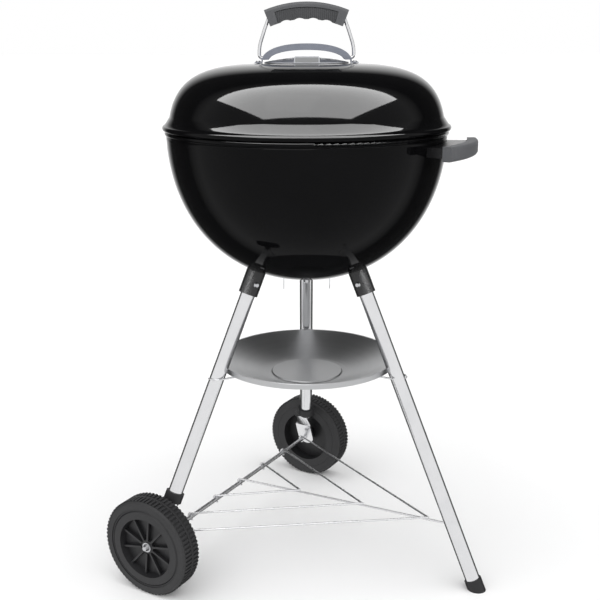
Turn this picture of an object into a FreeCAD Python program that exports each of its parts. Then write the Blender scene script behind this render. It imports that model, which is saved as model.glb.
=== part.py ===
import FreeCAD, Part
import math
import os

# Kettle charcoal grill, in millimetres.  +Z is up and the ground is z = 0 while the model is
# laid out.  Angles are measured from +X towards +Y.  The last step moves every piece so that
# the origin is the centre of the whole object's box on the ground.

V = FreeCAD.Vector
UP = V(0, 0, 1)
Y_AXIS = V(0, 1, 0)
ORIGIN = V(0, 0, 0)

# ---- clearances -------------------------------------------------------------------------------
SEAT_GAP = 0.3            # between a seated piece and what carries it
SLIP_GAP = 0.3            # around a tube or wire that goes into another piece
RUN_GAP = 0.05            # radial, between a turning piece and its pin

CURVE_STEPS = 36          # straight steps along the bowl's and the lid's curve

# ---- bowl -------------------------------------------------------------------------------------
BOWL_RADIUS = 235.4
BOWL_DEPTH = 256.9
BOWL_POWER = 2.14
BOWL_WALL = 1.2
BOWL_TOP_Z = 773.9        # height at which the bowl's curve is vertical
BOWL_RIM_Z = 768.0
BOWL_BEAD_R = 3.6
BOWL_HOLE_R = 8.0
BOWL_HOLE_RING = 22.0

# ---- lid --------------------------------------------------------------------------------------
LID_INSET = 1.5           # the lid's curve is this much narrower than the bowl's
LID_DEPTH = 193.8
LID_POWER = 4.2
LID_WALL = 1.2
LID_SKIRT_RISE = 18.0     # height of the flared skirt above the bead
LID_BEAD_R = 4.8
LID_BEAD_OUT = 2.2        # how far the lid's bead stands outside the bowl's bead
LID_CENTRE_DROP = 90.5    # the dome's centre below the lid's bead
LID_HOLE_R = 9.0
LID_HOLE_RING = 42.0

# ---- dampers ----------------------------------------------------------------------------------
DAMPER_R = 70.0
DAMPER_CROWN = 8.2
DAMPER_WALL = 1.2
DAMPER_HUB_R = 13.0
DAMPER_HOLE_R = 9.5
DAMPER_TAB_WIDTH = 41.0
DAMPER_TAB_HEIGHT = 11.0
BADGE_WIDTH = 37.0
BADGE_HEIGHT = 7.5
BADGE_THICK = 0.8
RIVET_R = 3.0
RIVET_HEAD_R = 7.0
RIVET_HEAD_H = 3.0
LOW_DAMPER_R = 37.0
LOW_DAMPER_WALL = 1.0
LOW_TAB_REACH = 41.0
LOW_TAB_DROP = 24.0
LOW_TAB_WIDTH = 11.0
LOW_NUT_R = 5.5
LOW_NUT_H = 9.0

# ---- lid handle -------------------------------------------------------------------------------
SHIELD_HALF = 74.5
SHIELD_RISE = 31.0
SHIELD_POWER = 2.3
SHIELD_WALL = 1.5
SHIELD_DEPTH = 34.0
SHIELD_LIP = 10.5
SHIELD_FOOT = 11.0
WIRE_R = 2.8
WIRE_TOP_RISE = 81.0      # the wire's straight run inside the grip, above the lid's top
WIRE_FOOT_RISE = 8.0
WIRE_BULGE = 77.5
WIRE_BEND_LOW = 5.0
WIRE_BEND_SIDE = 60.0
WIRE_BEND_TOP = 16.0
GRIP_TOP_RISE = 97.0
GRIP_ARC_R = 187.5
GRIP_HALF = 69.5
GRIP_DEPTH = 26.0
GRIP_SKIN = 8.5
GRIP_HEIGHT = 27.0
GRIP_LOBE = 15.0
GRIP_CORNER = 5.0
GRIP_SEAM = 0.3
FINGER_R = 15.0
FINGER_BITE = 2.2
FINGERS = 4

# ---- grates -----------------------------------------------------------------------------------
GRATE_Z = 742.0
GRATE_GAP = 6.0           # between a grate's ring and the bowl's wall
GRATE_RING_R = 3.0
GRATE_ROD_R = 2.2
GRATE_PITCH = 20.0
GRATE_HANDLE_W = 80.0
GRATE_HANDLE_RISE = 22.0
COAL_Z = 605.0
COAL_PITCH = 22.0
BRACKETS = 4
BRACKET_WIDTH = 14.0
BRACKET_REACH = 8.0
BRACKET_THICK = 2.0

# ---- legs -------------------------------------------------------------------------------------
LEG_FOOT_R = 336.0        # radius of the leg axes at the ground
LEG_SLOPE = 0.44          # how fast the legs come in, per unit of height
LEG_R = 12.7
LEG_WALL = 1.2
FRONT_LEFT = 210.0
FRONT_RIGHT = 330.0
REAR = 90.0
SOCKET_WALL = 3.6
SOCKET_LENGTH = 43.0
SOCKET_DROP = 38.0        # from where a leg's axis meets the bowl down to the socket's end
LEG_TOP_GAP = 6.0
SCREW_R = 2.5
SCREW_HEAD_R = 4.8
SCREW_HEAD_H = 3.0
FOOT_CAP_WALL = 1.8
FOOT_CAP_LENGTH = 19.0
FOOT_CAP_FLOOR = 4.0

# ---- wheels -----------------------------------------------------------------------------------
WHEEL_R = 86.0
WHEEL_WIDTH = 41.0
WHEEL_OFFSET = 16.0       # from the leg's axis to the wheel's middle, along the axle
TYRE_DEPTH = 18.0
TREAD_DEPTH = 2.0
TREAD_LUGS = 72
LUG_SHARE = 0.5
TREAD_BAND = 14.0
HUB_DISH_R = 50.0
HUB_DISH_DEPTH = 13.0
HUB_RIBS = 10
HUB_RIB_THICK = 3.5
HUB_BOSS_R = 13.0
BOSS_LEG_GAP = 8.0        # from the leg's axis to the boss, along the axle
AXLE_R = 4.0
NUT_R = 8.5
NUT_H = 5.0
FLAT_THICK = 4.4
FLAT_TOP = 34.0           # the flat starts this far above the axle
CRIMP_LENGTH = 34.0
COLLAR_RISE = 72.0        # along the leg, from the axle to the collar
COLLAR_LENGTH = 17.0
COLLAR_WALL = 3.0

# ---- bottom rack ------------------------------------------------------------------------------
RACK_WIRE_R = 1.8
RACK_LEG_Z = 110.0
RACK_TOUCH = 0.1
RACK_HALVES = (240.0, 162.0, 82.0)
RACK_REACHES = (392.0, 265.0, 134.0)
RACK_NAMES = ("outer", "middle", "inner")

# ---- ash catcher ------------------------------------------------------------------------------
DISH_Z = 371.5
DISH_DEPTH = 31.0
DISH_SKIRT = 9.0          # how far the rolled rim comes down outside
DISH_FLAT_R = 66.0
DISH_WALL = 1.0
DISH_ROLL = 2.6           # how far the rolled rim stands out
DISH_LEG_GAP = 1.0
CLIP_R = 1.5
CLIP_REACH = 20.0

# ---- side handle ------------------------------------------------------------------------------
SIDE_ANGLE = -22.0
SIDE_Z = 747.0
SIDE_REACH = 43.0         # from the bowl's wall to the middle of the grip
SIDE_GRIP_HALF = 18.5     # degrees
SIDE_GRIP_THICK = 17.0
SIDE_GRIP_HEIGHT = 23.0
SIDE_CORNER = 5.0
BRACKET_WALL = 1.8
BRACKET_HEIGHT = 15.5
BRACKET_HALF = 16.5       # degrees


# ---- shared helpers ---------------------------------------------------------------------------
def polar(radius, degrees, z=0.0):
    """Point at a radius and an angle."""
    a = math.radians(degrees)
    return V(radius * math.cos(a), radius * math.sin(a), z)


def turned(shape, degrees, centre=ORIGIN, axis=UP):
    """Copy of a shape turned about an axis."""
    copy = shape.copy()
    copy.rotate(centre, axis, degrees)
    return copy


def rod(start, end, radius):
    """Straight round rod between two points."""
    along = end - start
    return Part.makeCylinder(radius, along.Length, start, along)


def tube(start, end, outer, inner):
    """Straight round tube between two points."""
    return rod(start, end, outer).cut(rod(start, end, inner))


def spun(points, degrees=360.0):
    """Solid of revolution about Z from (radius, height) points."""
    corners = [V(r, 0, z) for r, z in points]
    wire = Part.makePolygon(corners + corners[:1])
    return Part.Face(wire).revolve(ORIGIN, UP, degrees)


def bent_rod(corners, bends, radius):
    """Round rod of straight runs joined by round bends, one bend for each inner corner."""
    pieces = []
    at = corners[0]
    for corner, before, after, bend in zip(corners[1:], corners, corners[2:], bends):
        back = (before - corner).normalize()
        ahead = (after - corner).normalize()
        half = back.getAngle(ahead) / 2.0
        reach = bend / math.tan(half)
        start = corner + back * reach
        centre = corner + (back + ahead).normalize() * (bend / math.sin(half))
        ring = Part.Face(Part.Wire(Part.makeCircle(radius, start, back)))
        axis = back.cross(start - centre)
        pieces.append(rod(at, start, radius))
        pieces.append(ring.revolve(centre, axis, 180 - 2 * math.degrees(half)))
        at = corner + ahead * reach
    pieces.append(rod(at, corners[-1], radius))
    return pieces[0].multiFuse(pieces[1:])


def rounded_plate(width, height, thick, corner):
    """Plate in XZ with rounded corners, centred on the origin, from y = 0 to y = thick."""
    w = width / 2.0 - corner
    h = height / 2.0
    plate = Part.makeBox(2 * w, thick, height, V(-w, 0, -h))
    side = Part.makeBox(width, thick, height - 2 * corner, V(-width / 2.0, 0, -h + corner))
    plate = plate.fuse(side)
    for sx in (-1, 1):
        for sz in (-1, 1):
            at = V(sx * w, 0, sz * (h - corner))
            plate = plate.fuse(Part.makeCylinder(corner, thick, at, Y_AXIS))
    return plate.removeSplitter()


# ---- curves of the bowl and the lid -----------------------------------------------------------
def bowl_z(radius, inset=0.0):
    """Height of the bowl's outer curve at a radius, or of a curve inset from it."""
    share = min(radius / (BOWL_RADIUS - inset), 1.0)
    return BOWL_TOP_Z - (BOWL_DEPTH - inset) * (1 - share ** BOWL_POWER) ** (1 / BOWL_POWER)


def bowl_r(z, inset=0.0):
    """Radius of the bowl's outer curve at a height, or of a curve inset from it."""
    share = min(max((BOWL_TOP_Z - z) / (BOWL_DEPTH - inset), 0.0), 1.0)
    return (BOWL_RADIUS - inset) * (1 - share ** BOWL_POWER) ** (1 / BOWL_POWER)


BOWL_BEAD_MID = BOWL_RADIUS - 0.9
LID_RADIUS = BOWL_RADIUS - LID_INSET
LID_BEAD_MID = BOWL_BEAD_MID + LID_BEAD_OUT
LID_BEAD_Z = BOWL_RIM_Z + math.sqrt((BOWL_BEAD_R + LID_BEAD_R + SEAT_GAP) ** 2 - LID_BEAD_OUT ** 2)
LID_CENTRE_Z = LID_BEAD_Z - LID_CENTRE_DROP
LID_SKIRT_Z = LID_BEAD_Z + LID_SKIRT_RISE
LID_TOP_Z = LID_CENTRE_Z + LID_DEPTH


def lid_z(radius, inset=0.0):
    """Height of the lid's outer curve at a radius, or of a curve inset from it."""
    share = min(radius / (LID_RADIUS - inset), 1.0)
    return LID_CENTRE_Z + (LID_DEPTH - inset) * (1 - share ** LID_POWER) ** (1 / LID_POWER)


def lid_r(z, inset=0.0):
    """Radius of the lid's outer curve at a height, or of a curve inset from it."""
    share = min(max((z - LID_CENTRE_Z) / (LID_DEPTH - inset), 0.0), 1.0)
    return (LID_RADIUS - inset) * (1 - share ** LID_POWER) ** (1 / LID_POWER)


def curve_point(radius, depth, power, centre_z, side, a):
    """Radius and height on a superellipse, where the angle a is zero on the axis."""
    r = radius * math.sin(a) ** (2.0 / power)
    return r, centre_z + side * depth * math.cos(a) ** (2.0 / power)


def dome(radius, depth, power, centre_z, side, limit_z):
    """Solid under one superellipse, closed by a flat disc at a height."""
    last = math.acos((abs(limit_z - centre_z) / depth) ** (power / 2.0))
    points = []
    for i in range(CURVE_STEPS + 1):
        points.append(curve_point(radius, depth, power, centre_z, side, last * i / CURVE_STEPS))
    points.append((0, limit_z))
    return spun(points)


def bowl_solid(inset, rim_z):
    """Solid inside the bowl's curve, inset from its outer surface, below a height."""
    return dome(BOWL_RADIUS - inset, BOWL_DEPTH - inset, BOWL_POWER, BOWL_TOP_Z, -1, rim_z)


def lid_solid(inset, low_z):
    """Solid under the lid's curve, inset from its outer surface, above a height."""
    return dome(LID_RADIUS - inset, LID_DEPTH - inset, LID_POWER, LID_CENTRE_Z, 1, low_z)


def drilled_ring(shape, hole_r, ring, count, first, low, high):
    """Shape with a ring of upright holes cut through it."""
    for i in range(count):
        at = polar(ring, first + 360.0 * i / count, low)
        shape = shape.cut(Part.makeCylinder(hole_r, high - low, at))
    return shape


# ---- bowl and what is in it -------------------------------------------------------------------
def bowl_shell():
    """Pressed bowl with a rolled rim, vent holes at the bottom and bolt hole in the middle."""
    shell = bowl_solid(0, BOWL_RIM_Z).cut(bowl_solid(BOWL_WALL, BOWL_RIM_Z))
    bead = Part.makeTorus(BOWL_BEAD_MID, BOWL_BEAD_R, V(0, 0, BOWL_RIM_Z))
    low = BOWL_TOP_Z - BOWL_DEPTH - 5
    shell = drilled_ring(shell, BOWL_HOLE_R, BOWL_HOLE_RING, 4, 45, low, low + 20)
    shell = shell.cut(Part.makeCylinder(RIVET_R + SLIP_GAP, 20, V(0, 0, low)))
    return shell.fuse(bead)


def bracket_ring(top_z, ring_r):
    """Ledges on the bowl's wall that carry a grate."""
    space = bowl_solid(BOWL_WALL, BOWL_RIM_Z)
    inner = ring_r - BRACKET_REACH
    length = bowl_r(top_z) - inner + 10
    solids = []
    for i in range(BRACKETS):
        ledge = Part.makeBox(length, BRACKET_WIDTH, BRACKET_THICK,
                             V(inner, -BRACKET_WIDTH / 2.0, top_z - BRACKET_THICK))
        lip = Part.makeBox(BRACKET_THICK, BRACKET_WIDTH, 3 * BRACKET_THICK,
                           V(inner - BRACKET_THICK, -BRACKET_WIDTH / 2.0, top_z - 3 * BRACKET_THICK))
        solids.append(turned(ledge.fuse(lip), 45 + 360.0 * i / BRACKETS).common(space))
    return Part.makeCompound(solids)


def grate(z, ring_r, pitch, handles):
    """Round grate: a ring, parallel rods on it and two bent handles if asked."""
    pieces = [Part.makeTorus(ring_r, GRATE_RING_R, V(0, 0, z))]
    count = int(ring_r / pitch)
    for i in range(-count, count + 1):
        y = i * pitch
        half = math.sqrt(ring_r ** 2 - y ** 2)
        pieces.append(rod(V(-half, y, z), V(half, y, z), GRATE_ROD_R))
    if handles:
        for side in (-1, 1):
            pieces += grate_handle(z, ring_r, side)
    return pieces[0].multiFuse(pieces[1:])


def grate_handle(z, ring_r, side):
    """Raised loop handle on one side of the cooking grate."""
    half = GRATE_HANDLE_W / 2.0
    y = side * (ring_r - GRATE_HANDLE_RISE)
    y_ring = side * math.sqrt(ring_r ** 2 - half ** 2)
    top = z + GRATE_HANDLE_RISE
    r = GRATE_ROD_R
    feet = [V(-half, y_ring, z), V(half, y_ring, z)]
    tops = [V(-half, y, top), V(half, y, top)]
    pieces = [rod(feet[0], tops[0], r), rod(tops[0], tops[1], r), rod(tops[1], feet[1], r)]
    return pieces + [Part.makeSphere(r, tops[0]), Part.makeSphere(r, tops[1])]


def bottom_damper():
    """Dished disc under the bowl with four vents and two bent finger tabs."""
    inset = -SEAT_GAP
    plate_low = bowl_solid(inset - LOW_DAMPER_WALL, BOWL_TOP_Z - BOWL_DEPTH + 20)
    plate_high = bowl_solid(inset, BOWL_TOP_Z - BOWL_DEPTH + 20)
    low = BOWL_TOP_Z - BOWL_DEPTH - LOW_TAB_DROP
    column = Part.makeCylinder(LOW_DAMPER_R, 60, V(0, 0, low))
    arm = Part.makeBox(2 * LOW_TAB_REACH, LOW_TAB_WIDTH, 60,
                       V(-LOW_TAB_REACH, -LOW_TAB_WIDTH / 2.0, low))
    plate = plate_low.cut(plate_high).common(column.fuse(arm))
    for side in (-1, 1):
        plate = plate.fuse(bottom_tab(side, low))
    plate = drilled_ring(plate, BOWL_HOLE_R, BOWL_HOLE_RING, 4, 45, low, low + 50)
    return plate.cut(Part.makeCylinder(RIVET_R + RUN_GAP, 60, V(0, 0, low)))


def bottom_tab(side, low):
    """Finger tab bent down at the rim of the bottom damper."""
    top = bowl_z(LOW_TAB_REACH) - SEAT_GAP - LOW_DAMPER_WALL / 2.0
    half = LOW_TAB_WIDTH / 2.0
    corners = [V(0, -half, top), V(0, half, top), V(0, half, top - LOW_TAB_DROP * 0.45),
               V(0, half * 0.2, low), V(0, -half, low + LOW_TAB_DROP * 0.35)]
    face = Part.Face(Part.makePolygon(corners + corners[:1]))
    tab = face.extrude(V(LOW_DAMPER_WALL * 1.2, 0, 0))
    tab.translate(V(LOW_TAB_REACH - LOW_DAMPER_WALL * 1.2, 0, 0))
    return tab if side > 0 else turned(tab, 180)


def bottom_damper_bolt():
    """Bolt that carries the bottom damper: round head inside, nut outside."""
    outside = bowl_z(0) - SEAT_GAP - LOW_DAMPER_WALL - SEAT_GAP
    inside = bowl_z(0) + BOWL_WALL + SEAT_GAP
    shank = rod(V(0, 0, outside - LOW_NUT_H - 2), V(0, 0, inside + 1), RIVET_R)
    head = Part.makeCone(RIVET_HEAD_R, RIVET_HEAD_R * 0.6, RIVET_HEAD_H, V(0, 0, inside))
    corners = [polar(LOW_NUT_R, 60 * i, outside - LOW_NUT_H) for i in range(6)]
    nut = Part.Face(Part.makePolygon(corners + corners[:1])).extrude(V(0, 0, LOW_NUT_H))
    return shank.fuse(head).fuse(nut)


# ---- lid --------------------------------------------------------------------------------------
def lid_shell():
    """Pressed dome with a flared skirt, a rolled bead, vent holes and fixing holes."""
    shell = lid_solid(0, LID_SKIRT_Z).cut(lid_solid(LID_WALL, LID_SKIRT_Z))
    outer = lid_r(LID_SKIRT_Z)
    inner = lid_r(LID_SKIRT_Z, LID_WALL)
    middle = LID_BEAD_MID
    half = (outer - inner) / 2.0
    flare = spun([(inner, LID_SKIRT_Z), (outer, LID_SKIRT_Z),
                  (middle - 2 + half, LID_BEAD_Z + LID_SKIRT_RISE * 0.45), (middle + half, LID_BEAD_Z),
                  (middle - half, LID_BEAD_Z), (middle - 2 - half, LID_BEAD_Z + LID_SKIRT_RISE * 0.45)])
    bead = Part.makeTorus(middle, LID_BEAD_R, V(0, 0, LID_BEAD_Z))
    low = LID_TOP_Z - 12
    shell = drilled_ring(shell, LID_HOLE_R, LID_HOLE_RING, 4, 45, low, low + 24)
    shell = shell.cut(Part.makeCylinder(RIVET_R + SLIP_GAP, 24, V(0, 0, low)))
    for x in shield_screw_places():
        shell = shell.cut(Part.makeCylinder(SCREW_R + SLIP_GAP, 24, V(x, 0, low)))
    return shell.fuse(flare).fuse(bead)


def damper_z(radius):
    """Height of the lid damper's top surface at a radius."""
    rim = LID_TOP_Z + SEAT_GAP + DAMPER_WALL
    return rim + DAMPER_CROWN * (1 - (radius / DAMPER_R) ** 2)


def lid_damper():
    """Domed disc with a flat middle, four vents and an upright finger tab."""
    floor = LID_TOP_Z + SEAT_GAP
    flat = floor + DAMPER_WALL
    top = [(RIVET_R + RUN_GAP, flat), (DAMPER_HUB_R, flat)]
    steps = 7
    start = DAMPER_HUB_R + 8
    for i in range(steps + 1):
        r = start + (DAMPER_R - start) * i / steps
        top.append((r, damper_z(r)))
    under = [(r, z - DAMPER_WALL) for r, z in reversed(top)]
    disc = spun(top + under)
    disc = drilled_ring(disc, DAMPER_HOLE_R, LID_HOLE_RING, 4, 45, floor - 5, floor + 20)
    tab = rounded_plate(DAMPER_TAB_WIDTH, DAMPER_TAB_HEIGHT, DAMPER_WALL, 2.5)
    tab.translate(V(0, damper_tab_y(), floor + DAMPER_TAB_HEIGHT / 2.0))
    return disc.fuse(tab)


def damper_tab_y():
    """Front face of the damper's upright tab."""
    return -DAMPER_R + 1.0


def lid_damper_badge():
    """Blank plate on the front of the damper's tab."""
    badge = rounded_plate(BADGE_WIDTH, BADGE_HEIGHT, BADGE_THICK, 1.5)
    mid = LID_TOP_Z + SEAT_GAP + DAMPER_TAB_HEIGHT / 2.0
    badge.translate(V(0, damper_tab_y() - BADGE_THICK, mid))
    return badge


def lid_damper_rivet():
    """Rivet that carries the lid damper, with a head on each side."""
    above = LID_TOP_Z + SEAT_GAP + DAMPER_WALL + SEAT_GAP
    below = LID_TOP_Z - LID_WALL - SEAT_GAP
    shank = rod(V(0, 0, below - 1), V(0, 0, above + 1), RIVET_R)
    head = Part.makeCone(RIVET_HEAD_R, RIVET_HEAD_R * 0.55, RIVET_HEAD_H, V(0, 0, above))
    tail = Part.makeCylinder(RIVET_HEAD_R * 0.85, 1.6, V(0, 0, below - 1.6))
    return shank.fuse(head).fuse(tail)


def arch_face(shrink, low):
    """Half superellipse in XZ above the lid, smaller by the given amount."""
    half = SHIELD_HALF - shrink
    rise = SHIELD_RISE - shrink
    points = []
    count = 24
    for i in range(count + 1):
        a = math.pi * i / count
        c = math.cos(a)
        s = max(math.sin(a), 0.0)
        x = half * math.copysign(abs(c) ** (2.0 / SHIELD_POWER), c)
        points.append(V(x, 0, low + rise * s ** (2.0 / SHIELD_POWER)))
    curve = Part.BSplineCurve()
    curve.interpolate(points)
    return Part.Face(Part.Wire([curve.toShape(), Part.makeLine(points[-1], points[0])]))


def arch_band(shrink, low, y0, thick):
    """Band between the arch's outer curve and a smaller one, from y0, of a thickness."""
    outer = arch_face(0, low).extrude(V(0, thick, 0))
    inner = arch_face(shrink, low).extrude(V(0, thick, 0))
    band = outer.cut(inner)
    band.translate(V(0, y0, 0))
    return band


def shield_screw_places():
    """X positions of the two screws through the shield's feet."""
    x = SHIELD_HALF + SHIELD_FOOT / 2.0
    return (-x, x)


def lid_heat_shield():
    """Arched strip over the damper, with bent-down lips, two feet and holes for the wire."""
    low = LID_TOP_Z + SEAT_GAP
    half = SHIELD_DEPTH / 2.0
    shield = arch_band(SHIELD_WALL, low, -half, SHIELD_DEPTH)
    lip_low = LID_TOP_Z + SEAT_GAP + DAMPER_CROWN / 2.0 + 1
    below = Part.makeBox(400, 100, 60, V(-200, -50, lip_low - 60))
    for y0 in (-half, half - SHIELD_WALL):
        shield = shield.fuse(arch_band(SHIELD_LIP, low, y0, SHIELD_WALL).cut(below))
    for side in (-1, 1):
        x0 = SHIELD_HALF - SHIELD_WALL if side > 0 else -SHIELD_HALF - SHIELD_FOOT
        foot = Part.makeBox(SHIELD_FOOT + SHIELD_WALL, SHIELD_DEPTH, SHIELD_WALL, V(x0, -half, low))
        shield = shield.fuse(foot)
    for x in shield_screw_places():
        shield = shield.cut(Part.makeCylinder(SCREW_R + SLIP_GAP, 10, V(x, 0, low - 3)))
    return shield.cut(handle_wire(WIRE_R + SLIP_GAP))


def lid_shield_screws():
    """Two screws that hold the shield's feet to the lid."""
    above = LID_TOP_Z + SEAT_GAP + SHIELD_WALL
    solids = []
    for x in shield_screw_places():
        under = lid_z(abs(x) + SCREW_HEAD_R) - LID_WALL - SEAT_GAP
        shank = rod(V(x, 0, under - 4), V(x, 0, above + 1), SCREW_R)
        head = Part.makeCone(SCREW_HEAD_R, SCREW_HEAD_R * 0.6, 2.2, V(x, 0, above))
        nut = Part.makeCylinder(SCREW_HEAD_R, SCREW_HEAD_H, V(x, 0, under - SCREW_HEAD_H))
        solids.append(shank.fuse(head).fuse(nut))
    return Part.makeCompound(solids)


def handle_wire(radius):
    """The bent wire of the lid handle, from one foot through the grip to the other foot."""
    foot = LID_TOP_Z + SEAT_GAP + WIRE_FOOT_RISE
    top = LID_TOP_Z + WIRE_TOP_RISE
    span = top - foot
    half = [(SHIELD_HALF - 9, foot), (WIRE_BULGE + 0.6, foot), (WIRE_BULGE + 0.4, foot + 0.25 * span),
            (WIRE_BULGE - 8.5, foot + 0.62 * span), (WIRE_BULGE - 19, top)]
    bends = [WIRE_BEND_LOW, WIRE_BEND_SIDE, WIRE_BEND_SIDE, WIRE_BEND_TOP]
    right = [V(x, 0, z) for x, z in half]
    left = [V(-x, 0, z) for x, z in reversed(half)]
    return bent_rod(right + left, bends + bends[::-1], radius)


def grip_bar(outer_r, inner_r, half_depth, corner, from_deg, to_deg):
    """Part of a bar with rounded top edges, bent to the grip's arc."""
    centre_z = LID_TOP_Z + GRIP_TOP_RISE - GRIP_ARC_R
    y = half_depth
    c = corner
    top = centre_z + outer_r
    low = centre_z + inner_r
    edges = [Part.makeLine(V(0, -y, low), V(0, y, low)), Part.makeLine(V(0, y, low), V(0, y, top - c))]
    k = c * (1 - math.sqrt(0.5))
    edges.append(Part.Arc(V(0, y, top - c), V(0, y - k, top - k), V(0, y - c, top)).toShape())
    edges.append(Part.makeLine(V(0, y - c, top), V(0, c - y, top)))
    edges.append(Part.Arc(V(0, c - y, top), V(0, k - y, top - k), V(0, -y, top - c)).toShape())
    edges.append(Part.makeLine(V(0, -y, top - c), V(0, -y, low)))
    face = Part.Face(Part.Wire(edges))
    centre = V(0, 0, centre_z)
    face.rotate(centre, Y_AXIS, from_deg)
    return face.revolve(centre, Y_AXIS, to_deg - from_deg)


def grip_angle():
    """Half angle of the grip's arc in degrees."""
    return math.degrees(math.asin(GRIP_HALF / GRIP_ARC_R))


def lobe_angle():
    """Angle at which the grip's end lobes start."""
    return math.degrees(math.asin((GRIP_HALF - GRIP_LOBE) / GRIP_ARC_R))


def lid_grip_shell():
    """Outer skin of the grip with a full-height lobe at each end."""
    end = grip_angle()
    start = lobe_angle()
    half = GRIP_DEPTH / 2.0
    skin = grip_bar(GRIP_ARC_R, GRIP_ARC_R - GRIP_SKIN, half, GRIP_CORNER, -end, end)
    for a, b in ((-end, -start), (start, end)):
        skin = skin.fuse(grip_bar(GRIP_ARC_R, GRIP_ARC_R - GRIP_HEIGHT, half, GRIP_CORNER, a, b))
    return skin.cut(handle_wire(WIRE_R + SLIP_GAP))


def lid_grip_insert():
    """Ribbed lower half of the grip with finger waves."""
    outer = GRIP_ARC_R - GRIP_SKIN - GRIP_SEAM
    inner = GRIP_ARC_R - GRIP_HEIGHT
    gap = math.degrees(GRIP_SEAM / inner)
    end = lobe_angle() - gap
    bar = grip_bar(outer, inner, GRIP_DEPTH / 2.0 - 1.0, 1.0, -end, end)
    centre_z = LID_TOP_Z + GRIP_TOP_RISE - GRIP_ARC_R
    for i in range(FINGERS):
        a = math.radians(end * (2.0 * i + 1 - FINGERS) / FINGERS)
        r = inner - FINGER_R + FINGER_BITE
        at = V(r * math.sin(a), -GRIP_DEPTH, centre_z + r * math.cos(a))
        bar = bar.cut(Part.makeCylinder(FINGER_R, 2 * GRIP_DEPTH, at, Y_AXIS))
    return bar.cut(handle_wire(WIRE_R + SLIP_GAP))


SOCKET_R = LEG_R + SLIP_GAP + SOCKET_WALL
FOOT_CAP_R = LEG_R + SLIP_GAP + FOOT_CAP_WALL
FLAT_HALF = math.pi * LEG_R / 2.0 - FLAT_THICK / 2.0
SIDE_GRIP_R = bowl_r(SIDE_Z) + SIDE_REACH


# ---- legs -------------------------------------------------------------------------------------
def leg_at(degrees, z):
    """Point of a leg's axis at a height."""
    return polar(LEG_FOOT_R - LEG_SLOPE * z, degrees, z)


def leg_down(degrees):
    """Unit vector down a leg."""
    down = leg_at(degrees, 0) - leg_at(degrees, 100)
    return down.normalize()


def leg_side(degrees):
    """Level unit vector square to a leg, the one that looks towards -Y if it can."""
    side = polar(1.0, degrees + 90)
    return side if side.y < -0.01 or abs(side.y) <= 0.01 and side.x > 0 else side * -1


def leg_meets_bowl():
    """Height at which a leg's axis meets the bowl."""
    z = BOWL_TOP_Z - BOWL_DEPTH
    while z < bowl_z(LEG_FOOT_R - LEG_SLOPE * z):
        z += 0.25
    return z


SOCKET_LOW_Z = leg_meets_bowl() - SOCKET_DROP


def leg_top_z():
    """Height of a leg's upper end, just below the bowl."""
    z = SOCKET_LOW_Z
    while z + LEG_TOP_GAP < bowl_z(LEG_FOOT_R - LEG_SLOPE * z - LEG_R):
        z += 0.5
    return z - 4


def socket_screw_at(degrees):
    """Point on a leg's axis where its socket screw goes through."""
    return leg_at(degrees, SOCKET_LOW_Z + SOCKET_LENGTH * 0.42)


def leg_socket(degrees):
    """Sleeve under the bowl that takes a leg, cut to the bowl's curve."""
    low = leg_at(degrees, SOCKET_LOW_Z)
    high = low - leg_down(degrees) * (SOCKET_LENGTH + 30)
    sleeve = rod(low, high, SOCKET_R).cut(rod(low, high, LEG_R + SLIP_GAP))
    side = leg_side(degrees)
    at = socket_screw_at(degrees)
    hole = rod(at - side * 30, at + side * 30, SCREW_R + SLIP_GAP)
    return sleeve.cut(bowl_solid(-SEAT_GAP, BOWL_RIM_Z)).cut(hole)


def leg_screws():
    """Screws through the sockets and the legs, one for each leg."""
    solids = []
    for degrees in (FRONT_LEFT, FRONT_RIGHT, REAR):
        side = leg_side(degrees)
        at = socket_screw_at(degrees)
        near = at + side * (SOCKET_R + 0.2)
        far = at - side * (SOCKET_R + 0.2)
        shank = rod(far - side * 4, near + side * 1, SCREW_R)
        head = Part.makeCone(SCREW_HEAD_R, SCREW_HEAD_R * 0.65, SCREW_HEAD_H, near, side)
        nut = Part.makeCylinder(SCREW_HEAD_R * 0.9, SCREW_HEAD_H, far, side * -1)
        solids.append(shank.fuse(head).fuse(nut))
    return Part.makeCompound(solids)


def leg_tube(degrees, low_z):
    """Round tube of a leg from a height up into its socket."""
    low = leg_at(degrees, low_z)
    high = leg_at(degrees, leg_top_z())
    body = tube(low, high, LEG_R, LEG_R - LEG_WALL)
    side = leg_side(degrees)
    at = socket_screw_at(degrees)
    return body.cut(rod(at - side * 30, at + side * 30, SCREW_R + SLIP_GAP))


def leg_front_right():
    """Leg that stands on the floor, with a hole for the rack's wire."""
    body = leg_tube(FRONT_RIGHT, 0)
    floor = Part.makeBox(100, 100, 60, V(-50, -50, -60))
    floor.translate(leg_at(FRONT_RIGHT, 0) + V(0, 0, FOOT_CAP_FLOOR + SEAT_GAP))
    return body.cut(floor).cut(centre_wire(RACK_WIRE_R + SLIP_GAP))


def foot_cap():
    """Soft cap on the floor end of the front right leg."""
    foot = leg_at(FRONT_RIGHT, 0)
    down = leg_down(FRONT_RIGHT)
    top = foot - down * FOOT_CAP_LENGTH
    cap = rod(foot + down * 30, top, FOOT_CAP_R)
    bore = rod(foot + down * 30, top - down * 5, LEG_R + SLIP_GAP)
    slab = Part.makeBox(200, 200, 100, V(-100, -100, -100))
    slab.translate(V(foot.x, foot.y, 0))
    floor = Part.makeBox(200, 200, 100, V(-100, -100, -100))
    floor.translate(V(foot.x, foot.y, FOOT_CAP_FLOOR))
    return cap.cut(bore.cut(floor)).cut(slab)


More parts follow.
